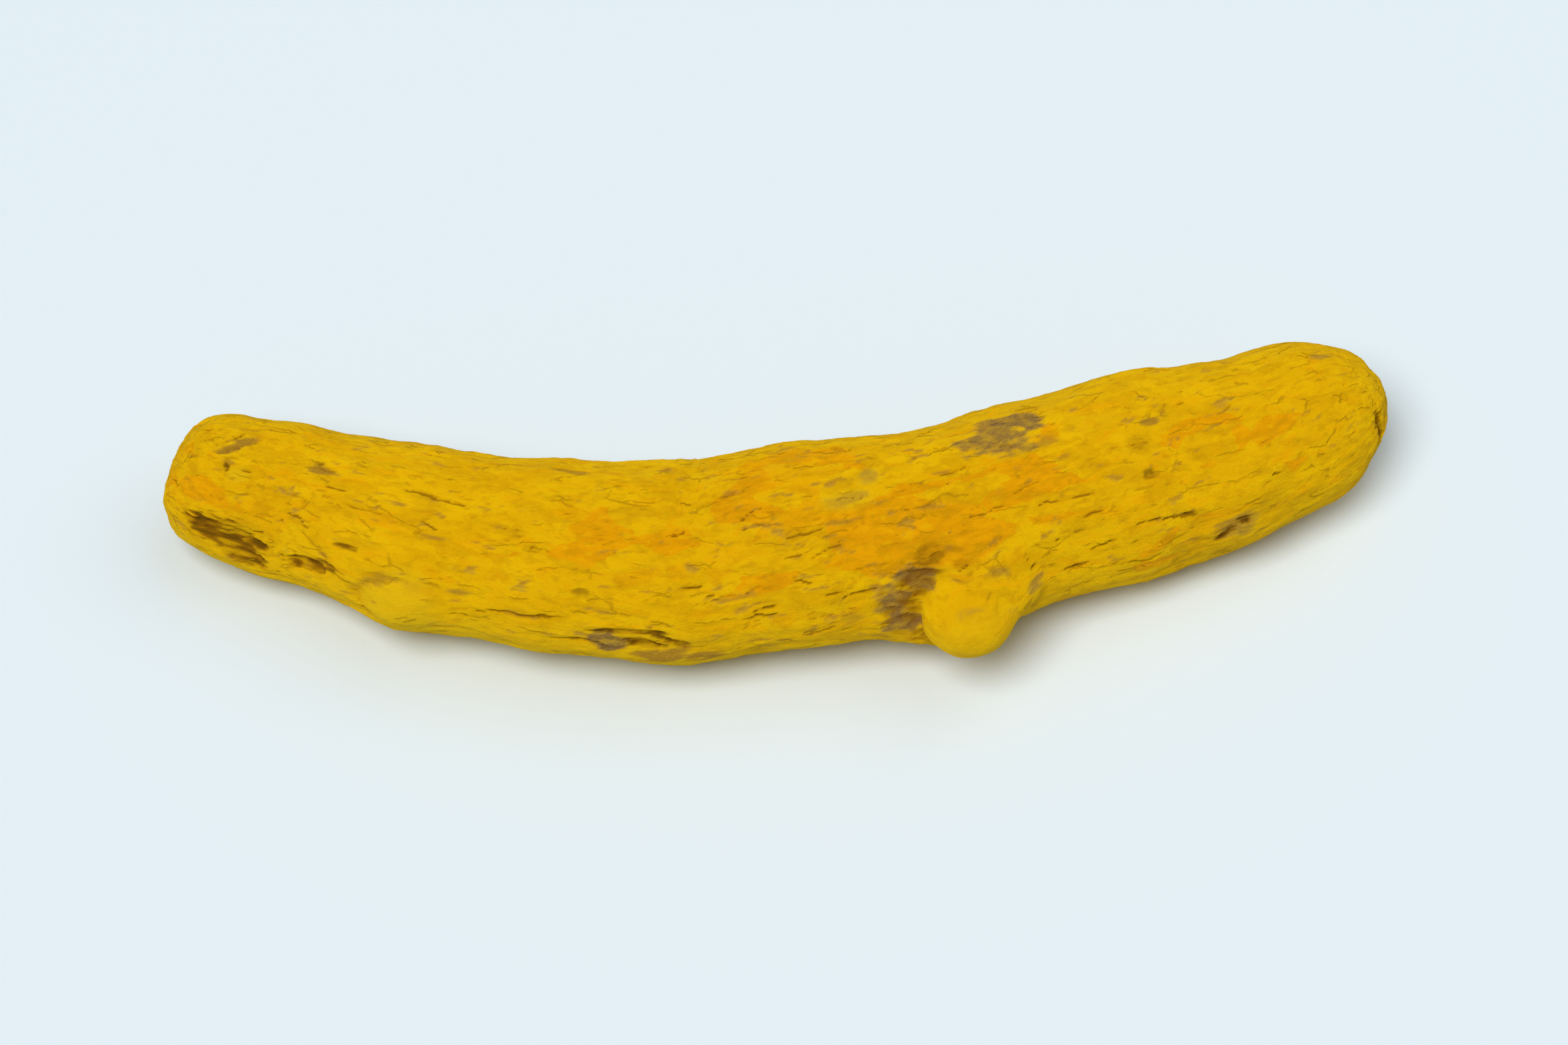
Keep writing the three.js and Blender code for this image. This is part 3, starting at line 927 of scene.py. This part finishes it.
# Short ways to add and link nodes. Where a number is asked for, a socket will do.
class Nodes:
    def __init__(self, material):
        self.tree = material.node_tree
        self.tree.nodes.clear()

    def fill(self, socket, value):
        if isinstance(value, bpy.types.NodeSocket):
            self.tree.links.new(value, socket)
        else:
            socket.default_value = value

    # A node whose inputs are given by name, with _ for a space.
    def add(self, kind, **inputs):
        node = self.tree.nodes.new(kind)
        for name, value in inputs.items():
            self.fill(node.inputs[name.replace("_", " ")], value)
        return node

    def attribute(self, label, output="Fac"):
        node = self.tree.nodes.new("ShaderNodeAttribute")
        node.attribute_name = label
        return node.outputs[output]

    # The place squeezed along the finger, so that what is drawn there is stretched.
    def stretched(self, where, stretch):
        return self.add("ShaderNodeMapping", Vector=where, Scale=(1 / stretch, 1, 1)).outputs["Vector"]

    def noise(self, where, scale, stretch, detail, distortion):
        node = self.add("ShaderNodeTexNoise", Vector=self.stretched(where, stretch), Scale=scale)
        node.inputs["Detail"].default_value = detail
        node.inputs["Distortion"].default_value = distortion
        return node.outputs["Fac"]

    # Voronoi cells, after the place has swayed by size times a noise from 0 to 1.
    def cells(self, where, warpScale, size, scale, stretch, feature, output):
        warp = self.add("ShaderNodeTexNoise", Vector=where, Scale=warpScale, Detail=3)
        swayed = self.tree.nodes.new("ShaderNodeVectorMath")
        swayed.operation = "MULTIPLY_ADD"
        for socket, value in zip(swayed.inputs, (warp.outputs["Color"], size, where)):
            self.fill(socket, value)
        place = self.stretched(swayed.outputs[0], stretch)
        node = self.add("ShaderNodeTexVoronoi", Vector=place, Scale=scale)
        node.feature = feature
        return node.outputs[output]

    # Soft step from start, below the low edge, to end, above the high edge.
    def between(self, value, low, high, start, end):
        node = self.add("ShaderNodeMapRange", Value=value, From_Min=low, From_Max=high)
        node.inputs["To Min"].default_value = start
        node.inputs["To Max"].default_value = end
        node.interpolation_type = "SMOOTHSTEP"
        return node.outputs["Result"]

    def maths(self, operation, a, b):
        node = self.tree.nodes.new("ShaderNodeMath")
        node.operation = operation
        for socket, value in zip(node.inputs, (a, b)):
            self.fill(socket, value)
        return node.outputs[0]

    def times(self, a, b):
        return self.maths("MULTIPLY", a, b)

    # Colour a with colour b over it; the mix node's sockets for colours are its 7th and 8th.
    def mixed(self, share, a, b):
        node = self.tree.nodes.new("ShaderNodeMix")
        node.data_type = "RGBA"
        for place, value in ((0, share), (6, a), (7, b)):
            self.fill(node.inputs[place], value)
        return node.outputs[2]


# Sound skin: yellow with paler and darker tones, orange flakes, green-yellow patches, painted green-yellow
# shade on the underside of the blunt half, and painted ochre shade in the hollows.
def soundColour(nodes, mark, mask, patterns):
    look = driedSkinLook
    flake = nodes.mixed(mask("freshFlake", patterns["blotch"]), look["deepOrange"], look["orange"])
    zone = nodes.maths("ADD", nodes.times(mark("orange"), skinCover["orange"]), patterns["flakes"])
    colours = {**look, "flake": flake}
    layered = {**patterns, "zone": zone}
    colour = nodes.mixed(mask("pale", patterns["soft"]), look["yellow"], look["paleYellow"])
    for pattern, low, high, cover, shade in skinShades:
        colour = nodes.mixed(nodes.between(layered[pattern], low, high, 0, cover), colour, colours[shade])
    # Real green patches first, then painted shade: green-yellow on the underside and ochre in the hollows.
    for label, shade in (("green", "greenYellowAndShade"), ("low", "greenYellowAndShade"), ("hollowShade", "ochreAndShade")):
        colour = nodes.mixed(nodes.times(mark(label), skinCover[label]), colour, look[shade])
    return nodes.mixed(mask("fineOchre", patterns["fine"]), colour, look["ochreAndShade"])


# Worn flecks with a painted rust shadow along their upper rim, then hairlines, cracks, tan and dusty
# patches, scars, collar.
def agedColour(nodes, mark, mask, patterns, colour):
    look = driedSkinLook
    worn = nodes.times(mark("worn"), mask("wornFleck", patterns["fleck"]))
    colour = nodes.mixed(worn, colour, look["wornBark"])
    hairline = nodes.times(patterns["hairline"], skinCover["hairline"])
    broken = nodes.maths("ADD", mark("crack"), nodes.maths("SUBTRACT", patterns["fleck"], 0.5))
    # Painted shadow: rust along the upper rim of the worn flecks.
    colour = nodes.mixed(nodes.times(mark("rimShade"), skinCover["rimShade"]), colour, look["rustAndShade"])
    colour = nodes.mixed(hairline, colour, look["rustAndShade"])
    colour = nodes.mixed(nodes.times(mark("hair"), skinCover["hair"]), colour, look["rustAndShade"])
    colour = nodes.mixed(mask("brokenCrack", broken), colour, look["brown"])

    crumbs = mark("crumbs")
    speckle = mask("speckle", patterns["fine"])
    dust = nodes.times(mask("dust", mark("dust")), mask("dustMottle", patterns["mottle"]))
    scar = nodes.times(mask("scar", mark("scar")), mask("scarCrumbs", crumbs))
    stripe = nodes.mixed(mask("stripe", crumbs), look["darkBark"], look["brown"])
    collar = nodes.times(mark("collar"), mask("collarCrumbs", crumbs))
    colour = nodes.mixed(nodes.times(mark("tan"), speckle), colour, look["tanBark"])
    colour = nodes.mixed(nodes.times(dust, speckle), colour, look["greyBark"])
    colour = nodes.mixed(scar, colour, stripe)
    return nodes.mixed(nodes.times(collar, speckle), colour, look["brown"])


# The skin's material. Its patterns lie on the finger as if it were straight, so they follow the bow.
def makeDriedSkin():
    material = bpy.data.materials.new("dried turmeric skin")
    material.use_nodes = True
    nodes = Nodes(material)
    mark = nodes.attribute
    where = nodes.attribute("straight", "Vector")

    def mask(name, value):
        return nodes.between(value, *skinMasks[name])

    patterns = {name: nodes.noise(where, *values) for name, values in skinPatterns.items()}
    patterns.update({name: nodes.cells(where, *values) for name, values in skinCells.items()})
    # Hairlines too fine for the mesh: stretches of the borders between cells, but not on the bud.
    hairline = nodes.times(mask("border", patterns["borders"]), mask("stretch", patterns["stretches"]))
    patterns["hairline"] = nodes.times(hairline, mask("offBud", mark("bud")))
    colour = soundColour(nodes, mark, mask, patterns)
    colour = agedColour(nodes, mark, mask, patterns, colour)

    height = 0
    for pattern, share in skinFinish["bump"]:
        height = nodes.maths("ADD", height, nodes.times(patterns[pattern], share))
    bump = nodes.add("ShaderNodeBump", Height=height)
    bump.inputs["Strength"].default_value = skinFinish["bumpStrength"]
    bump.inputs["Distance"].default_value = skinFinish["bumpHeight"]
    shader = nodes.add("ShaderNodeBsdfPrincipled", Base_Color=colour, Normal=bump.outputs["Normal"])
    nodes.fill(shader.inputs["Roughness"], mask("roughness", patterns["fine"]))
    shader.inputs["Specular IOR Level"].default_value = skinFinish["specular"]
    shader.inputs["Diffuse Roughness"].default_value = skinFinish["diffuseRoughness"]
    nodes.add("ShaderNodeOutputMaterial", Surface=shader.outputs["BSDF"])
    print("turmeric: skin material made")
    return material


table = {
    "size": 3.0,  # metres
    "colour": (0.81, 0.925, 0.99, 1),
    "roughness": 0.45,
}


# A square of white glaze under the finger.
def makeTable():
    half = table["size"] / 2
    corners = np.array([(-half, -half, 0), (half, -half, 0), (half, half, 0), (-half, half, 0)])
    mesh = bpy.data.meshes.new("table")
    mesh.from_pydata(corners.tolist(), [], [(0, 1, 2, 3)])
    floor = bpy.data.objects.new("table", mesh)
    bpy.context.scene.collection.objects.link(floor)
    material = bpy.data.materials.new("white glaze")
    material.use_nodes = True
    shader = material.node_tree.nodes["Principled BSDF"]
    shader.inputs["Base Color"].default_value = table["colour"]
    shader.inputs["Roughness"].default_value = table["roughness"]
    mesh.materials.append(material)


# Soft lights from far off: the way each comes from, its apparent width in degrees, its strength in
# watts a square metre, and its colour.
lights = {
    "window": ((-0.25, -0.37, 0.9), 30, 2.12, (1, 0.985, 0.975)),
    "fill": ((0.5, 0.1, 0.86), 60, 0.52, (1, 1, 1)),
}
room = {
    "strength": 0.22,
    "backdrop": (0.64, 0.74, 0.78, 1),  # what the eye sees beyond the table
}


# Sun lamps light the table evenly. The room lights it from all round, but shows as the backdrop.
def makeLights():
    for label, (way, width, strength, colour) in lights.items():
        lamp = bpy.data.lights.new(label, "SUN")
        lamp.angle = math.radians(width)
        lamp.energy = strength
        lamp.color = colour
        source = bpy.data.objects.new(label, lamp)
        source.location = way
        source.rotation_euler = Vector(way).to_track_quat("Z", "Y").to_euler()
        bpy.context.scene.collection.objects.link(source)
    world = bpy.data.worlds.new("soft room")
    world.use_nodes = True
    nodes, links = world.node_tree.nodes, world.node_tree.links
    light = nodes["Background"]
    light.inputs["Color"].default_value = (1, 1, 1, 1)
    light.inputs["Strength"].default_value = room["strength"]
    backdrop = nodes.new("ShaderNodeBackground")
    backdrop.inputs["Color"].default_value = room["backdrop"]
    path = nodes.new("ShaderNodeLightPath")
    chosen = nodes.new("ShaderNodeMixShader")
    links.new(path.outputs["Is Camera Ray"], chosen.inputs[0])
    links.new(light.outputs[0], chosen.inputs[1])
    links.new(backdrop.outputs[0], chosen.inputs[2])
    links.new(chosen.outputs[0], nodes["World Output"].inputs["Surface"])
    bpy.context.scene.world = world


eye = {
    "azimuth": math.radians(-4),  # from straight in front, towards the growing tip
    "elevation": math.radians(55),
    "distance": 0.478,  # metres
    "lens": 160,  # millimetres
}


# The camera looks at the target from its azimuth, elevation and distance.
def makeCamera(target):
    flat = math.cos(eye["elevation"])
    back = Vector((
        math.sin(eye["azimuth"]) * flat, -math.cos(eye["azimuth"]) * flat, math.sin(eye["elevation"]),
    ))
    data = bpy.data.cameras.new("eye")
    data.lens = eye["lens"]
    data.clip_start = 0.01
    camera = bpy.data.objects.new("eye", data)
    camera.location = target + back * eye["distance"]
    camera.rotation_euler = (-back).to_track_quat("-Z", "Y").to_euler()
    bpy.context.scene.collection.objects.link(camera)
    bpy.context.scene.camera = camera


target = (cadLow + cadHigh) / 2
makeCamera(target)
makeLights()
makeTable()
print("turmeric: table, lights and camera made")

skin = makeSkin()
skin.data.materials.append(makeDriedSkin())
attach(skin, "root")
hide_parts("turmeric_finger")
print("turmeric: skin made with", len(skin.data.vertices), "points")

bpy.context.scene.view_settings.view_transform = "Standard"
